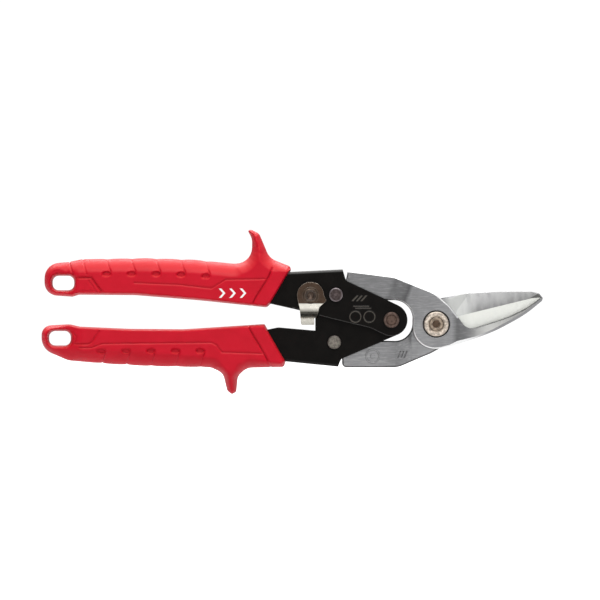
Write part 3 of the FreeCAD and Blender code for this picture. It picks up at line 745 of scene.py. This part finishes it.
def grip_half(px, outward, loop, spur):
    """Half thickness, thinner behind the loop's span of X and beyond the spur's span outward."""
    past_loop = smooth(px, *loop)
    up_spur = smooth(outward, *spur)
    return (HALF - LOOP_THINNER * (1 - past_loop)) * (1 - SPUR_THINNER * up_spur)


def upper_half(px, pz):
    return grip_half(px, pz, loop=(-184.5, -177.5), spur=(33.0, 46.5))


def lower_half(px, pz):
    return grip_half(px, -pz, loop=(-183.5, -176.0), spur=(22.5, 34.5))


def finger_pads(px, pz, first, ridge, rise):
    """Recess depth of the pads: a pocket at each pad's foot, and a groove from it over the rounded edge.

    first is the first pocket's X, and ridge(x) is a pocket's Z.
    rise sets how far the grooves run, up or down.
    """
    last = first + PAD_PITCH * (PAD_COUNT - 1)
    near_pocket = np.abs((px - first) / PAD_PITCH % 1 - 0.5) * 2
    start = first - PAD_END
    on_pads = smooth(px, start, start + PAD_FADE) * smooth(last + PAD_END - px, 0, PAD_FADE)
    beyond_ridge = smooth((pz - ridge(first)) * np.sign(rise), 0.5, 3.0)
    depth = PAD_DIP * near_pocket ** 3 * on_pads * beyond_ridge
    for index in range(PAD_COUNT):
        x = first + PAD_PITCH * index
        z = ridge(x)
        depth = np.maximum(depth, pocket(px, pz, (x, z), POCKET_WIDE, POCKET_TALL, POCKET_DEPTH))
        line = [(x + 2.0, z + 0.2 * rise), (x + 1.2, z + 0.6 * rise), (x, z + 1.3 * rise)]
        depth = np.maximum(depth, groove(px, pz, line, PAD_GROOVE, PAD_GROOVE_DEPTH))
    return depth


def upper_ridge(x):
    """Height of the pockets on the upper grip, which bends down towards the blades."""
    return 25.0 - 0.0016 * max(0.0, x + 142.0) ** 2


def lower_ridge(x):
    """Height of the pockets on the lower grip, the same all along."""
    return -13.4


def upper_recess(px, pz):
    """Recesses in the upper grip's sides; each groove is (line, width, depth)."""
    grooves = [
        ([(-150.5, 20.6), (-128.0, 19.6), (-112.0, 17.8), (-105.0, 22.2), (-85.0, 22.5)], 0.6, 0.55),
        ([(-81.8, 27.8), (-84.2, 22.6), (-90.0, 13.5), (-92.3, 8.6)], 0.7, 0.8),
        ([(-183.2, 31.0), (-181.6, 26.0), (-179.6, 22.0)], 0.65, 0.7),
        ([(-180.0, 23.1), (-172.0, 23.1), (-167.0, 16.4)], 0.9, 0.9),
        ([(-173.2, 21.6), (-170.2, 17.4)], 0.6, 0.5),
        ([(-178.0, 16.3), (-169.6, 16.3)], 0.6, 0.5),
        ([(-174.4, 24.8), (-176.4, 32.0)], 0.65, 0.5),
    ]
    pads = finger_pads(px, pz, -164.3, upper_ridge, 5.2)
    return np.maximum(deepest_groove(px, pz, grooves), pads)


def lower_recess(px, pz):
    """Recesses in the lower grip's sides; each groove is (line, width, depth)."""
    long_line = [
        (-178.0, -11.9), (-172.0, -11.9), (-166.5, -9.8), (-160.0, -9.7), (-112.0, -9.2), (-109.5, -10.5),
        (-107.0, -14.0), (-86.5, -14.7),
    ]
    grooves = [
        ([(-180.5, -10.0), (-173.6, -10.0), (-172.0, -9.2), (-168.0, -3.4)], 0.65, 0.65),
        (long_line, 0.6, 0.55),
        ([(-94.0, -0.9), (-90.5, -7.0), (-88.0, -11.0), (-85.5, -15.5), (-82.6, -21.6)], 0.7, 0.8),
        ([(-182.0, -3.2), (-179.4, -6.4), (-180.5, -10.0)], 0.6, 0.5),
    ]
    pads = finger_pads(px, pz, -167.0, lower_ridge, -5.2)
    return np.maximum(deepest_groove(px, pz, grooves), pads)


def moulded_grip(corners, slot_at, half_thickness, recess):
    """Vertices and quads, in metres, of a grip whose side faces are flat and whose rims are rounded."""
    points, roundness = rounded(corners)
    pad = 3 * GRID
    low = np.array([points[:, 0].min() - pad, -HALF - pad, points[:, 1].min() - pad])
    high = np.array([points[:, 0].max() + pad, HALF + pad, points[:, 1].max() + pad])
    xs, ys, zs = (np.arange(low[i], high[i] + GRID, GRID) for i in range(3))
    px, pz = np.meshgrid(xs, zs, indexing="ij")
    hole, _ = rounded(slot_corners(slot_at))
    hole_rim = 1 - signed_outside(px, pz, hole) / SLOT_RIM
    rim = np.maximum(edge_field(px, pz, points, roundness), np.maximum(hole_rim, 0))
    half = half_thickness(px, pz)
    cut = recess(px, pz) / half
    level = np.abs(ys)[None, :, None] / half[:, None, :]
    field = 1 - (rim[:, None, :] ** RIM_POWER + level ** RIM_POWER) ** (1 / RIM_POWER) - cut[:, None, :]
    vertices, quads = surface_net(field, low, GRID)
    return vertices * MM, quads


def build_grips(red):
    """Replaces each grip's CAD solid with its moulding."""
    grips = {
        "upper_grip": ("upper_handle", UPPER_CORNERS, UPPER_SLOT, upper_half, upper_recess),
        "lower_grip": ("lower_handle", LOWER_CORNERS, LOWER_SLOT, lower_half, lower_recess),
    }
    for node, (body, corners, slot_at, half_thickness, recess) in grips.items():
        vertices, quads = moulded_grip(corners, slot_at, half_thickness, recess)
        piece = mesh_piece(node + "_moulding", vertices, quads, red, body)
        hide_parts(node)


# ------------------------------------------------------------------ return spring

WIRE = 0.4 * MM            # radius of the spring's wire
TURNS = 7
RINGS_PER_TURN = 28
RING_SIDES = 10
CLOSED_END = 0.10          # share of the coil at each end that lies almost flat
EVEN_RISE = 0.14           # share of the rise that is spread evenly over the whole coil


def coil_ring(centre, radius, bottom, top, share):
    """Points round the wire, a share of the way up the coil."""
    eased = smooth(share, CLOSED_END, 1 - CLOSED_END) * (1 - EVEN_RISE) + share * EVEN_RISE
    angle = 2 * math.pi * TURNS * share
    out = Vector((math.cos(angle), math.sin(angle), 0))
    middle = Vector((centre.x, centre.y, bottom + (top - bottom) * float(eased))) + out * radius
    ring = []
    for side in range(RING_SIDES):
        around = 2 * math.pi * side / RING_SIDES
        ring.append(middle + out * (WIRE * math.cos(around)) + Vector((0, 0, WIRE * math.sin(around))))
    return ring


def coil_spring():
    """Swept wire coil between the two jaw tails."""
    low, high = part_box("return_spring")
    centre = (low + high) / 2
    radius = (high.x - low.x) / 2 - WIRE
    steps = TURNS * RINGS_PER_TURN
    vertices = []
    for i in range(steps + 1):
        vertices += coil_ring(centre, radius, low.z + WIRE, high.z - WIRE, i / steps)
    faces = []
    for i in range(steps):
        for k in range(RING_SIDES):
            a, b = i * RING_SIDES + k, i * RING_SIDES + (k + 1) % RING_SIDES
            faces.append((a, b, b + RING_SIDES, a + RING_SIDES))
    faces.append(tuple(reversed(range(RING_SIDES))))
    faces.append(tuple(range(steps * RING_SIDES, (steps + 1) * RING_SIDES)))
    piece = mesh_piece("return_spring_coil", vertices, faces, spring_wire(), None)
    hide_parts("return_spring")
    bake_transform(piece)


# ------------------------------------------------------------------ printed mark

CHEVRONS = 3
CHEVRON_PITCH = 5.2 * MM
FIRST_CHEVRON = (-108.4 * MM, 15.4 * MM)
CHEVRON_ARM, CHEVRON_TALL, CHEVRON_WIDE = 2.0 * MM, 2.3 * MM, 1.25 * MM
CHEVRON_QUADS = [(0, 1, 2, 5), (5, 2, 3, 4)]   # lower and upper arm, by corner
INK_PROUD = 0.03 * MM      # how far the print stands out from the grip
INK_DEPTH = 0.16 * MM      # from its face to its back, which is inside the grip


def chevron(x, z):
    """Corners of a chevron that points along +X, anticlockwise from its lower left."""
    return [
        (x, z - CHEVRON_TALL),
        (x + CHEVRON_WIDE, z - CHEVRON_TALL),
        (x + CHEVRON_WIDE + CHEVRON_ARM, z),
        (x + CHEVRON_WIDE, z + CHEVRON_TALL),
        (x, z + CHEVRON_TALL),
        (x + CHEVRON_ARM, z),
    ]


def printed_mark():
    """Plain chevrons printed in white on the upper grip's side."""
    face_y = -HALF * MM - INK_PROUD
    first_x, z = FIRST_CHEVRON
    vertices, faces = [], []
    for index in range(CHEVRONS):
        shape = chevron(first_x + CHEVRON_PITCH * index, z)
        n = len(shape)
        front = len(vertices)
        back = front + n
        vertices += [(a, face_y, b) for a, b in shape]
        vertices += [(a, face_y + INK_DEPTH, b) for a, b in shape]
        faces += [[front + k for k in quad] for quad in CHEVRON_QUADS]
        faces += [[back + k for k in reversed(quad)] for quad in CHEVRON_QUADS]
        for k in range(n):
            following = (k + 1) % n
            faces.append((front + k, back + k, back + following, front + following))
    piece = mesh_piece("printed_mark", vertices, faces, printed_ink(), "upper_handle")
    piece.data.shade_flat()


# ------------------------------------------------------------------ stage, light and camera

FLOOR_DROP = 0.03          # from the tool down to the floor, in metres
FLOOR_HALF = 4.0           # half the floor's width

# Light that the tool reflects, by height from the nadir (0) to the zenith (1).
SKY = [(0.35, (0.16, 0.16, 0.165, 1)), (0.90, (0.60, 0.60, 0.60, 1))]
BACKDROP = (1.05, 1.05, 1.05, 1)   # what the camera sees instead

# Softboxes high up, and weak cards level with the tool:
# (name, place from the tool's middle in metres, (width, height) in metres, power in watts).
LIGHTS = [
    ("key_softbox", (0.10, -0.80, 1.15), (1.3, 0.7), 11),
    ("overhead_softbox", (0.0, -0.05, 1.2), (2.0, 1.1), 7),
    ("front_card", (0.0, -3.0, 0.0), (1.3, 1.2), 6.5),
    ("right_card", (1.8, -1.8, 0.1), (1.0, 1.0), 3),
    ("back_key", (-0.10, 0.90, 1.0), (1.3, 0.7), 12),
    ("back_card", (0.0, 3.0, 0.0), (1.6, 1.3), 5),
]

VIEW_WIDTH = 0.300         # width of the picture at the tool, in metres
VIEW_DISTANCE = 2.2
VIEW_CENTRE = Vector((-0.068, 0.0, 0.012))


def stage_floor():
    """Floor that is white to the camera and pale grey to the light."""
    z = CAD_BOX[0].z - FLOOR_DROP
    corners = [(x * FLOOR_HALF, y * FLOOR_HALF, z) for x, y in ((-1, -1), (1, -1), (1, 1), (-1, 1))]
    data = bpy.data.meshes.new("studio_floor")
    data.from_pydata(corners, [], [(0, 1, 2, 3)])
    floor = bpy.data.objects.new("studio_floor", data)
    bpy.context.scene.collection.objects.link(floor)
    g = Graph("studio_floor")
    seen = g.add("ShaderNodeLightPath").outputs["Is Camera Ray"]
    g.feed(g.shader.inputs["Emission Color"], (1, 1, 1, 1))
    g.feed(g.shader.inputs["Emission Strength"], seen)
    data.materials.append(g.finish(Base=(0.65, 0.65, 0.65), Roughness=0.9))


def area_light(name, place, target, size, power):
    """Rectangular light that faces a target."""
    data = bpy.data.lights.new(name, "AREA")
    data.shape = "RECTANGLE"
    data.size, data.size_y = size
    data.energy = power
    light = bpy.data.objects.new(name, data)
    light.location = place
    light.rotation_euler = (target - place).to_track_quat("-Z", "Y").to_euler()
    bpy.context.scene.collection.objects.link(light)


def white_world():
    """World that is white to the camera, and a soft vertical gradient to everything else."""
    world = bpy.data.worlds.new("studio")
    bpy.context.scene.world = world
    world.use_nodes = True
    tree = world.node_tree
    tree.nodes.clear()
    output = tree.nodes.new("ShaderNodeOutputWorld")
    background = tree.nodes.new("ShaderNodeBackground")
    place = tree.nodes.new("ShaderNodeTexCoord")
    split = tree.nodes.new("ShaderNodeSeparateXYZ")
    height = tree.nodes.new("ShaderNodeMapRange")
    ramp = tree.nodes.new("ShaderNodeValToRGB")
    seen = tree.nodes.new("ShaderNodeLightPath")
    mix = tree.nodes.new("ShaderNodeMix")
    mix.data_type = "RGBA"
    height.inputs["From Min"].default_value = -1.0
    for element, (position, colour) in zip(ramp.color_ramp.elements, SKY):
        element.position = position
        element.color = colour
    factor, to_light, to_camera = mix.inputs[0], mix.inputs[6], mix.inputs[7]
    to_camera.default_value = BACKDROP
    tree.links.new(place.outputs["Generated"], split.inputs[0])
    tree.links.new(split.outputs["Z"], height.inputs["Value"])
    tree.links.new(height.outputs[0], ramp.inputs[0])
    tree.links.new(seen.outputs["Is Camera Ray"], factor)
    tree.links.new(ramp.outputs[0], to_light)
    tree.links.new(mix.outputs[2], background.inputs["Color"])
    tree.links.new(background.outputs[0], output.inputs[0])


def studio():
    """White world and soft lights, all facing the tool's middle."""
    white_world()
    middle = (CAD_BOX[0] + CAD_BOX[1]) / 2
    for name, offset, size, power in LIGHTS:
        area_light(name, middle + Vector(offset), middle, size, power)
    bpy.context.scene.view_settings.view_transform = "Standard"


def photo_camera():
    """Long lens, square to the tool's front face as in the photo."""
    data = bpy.data.cameras.new("camera")
    data.sensor_width = 36.0
    data.lens = data.sensor_width * VIEW_DISTANCE / VIEW_WIDTH
    data.clip_end = 20.0
    camera = bpy.data.objects.new("camera", data)
    camera.location = VIEW_CENTRE + Vector((0, -VIEW_DISTANCE, 0))
    camera.rotation_euler = (math.pi / 2, 0, 0)
    bpy.context.scene.collection.objects.link(camera)
    bpy.context.scene.camera = camera


paint_cad_nodes()
build_grips(red_elastomer())
coil_spring()
printed_mark()
stage_floor()
studio()
photo_camera()
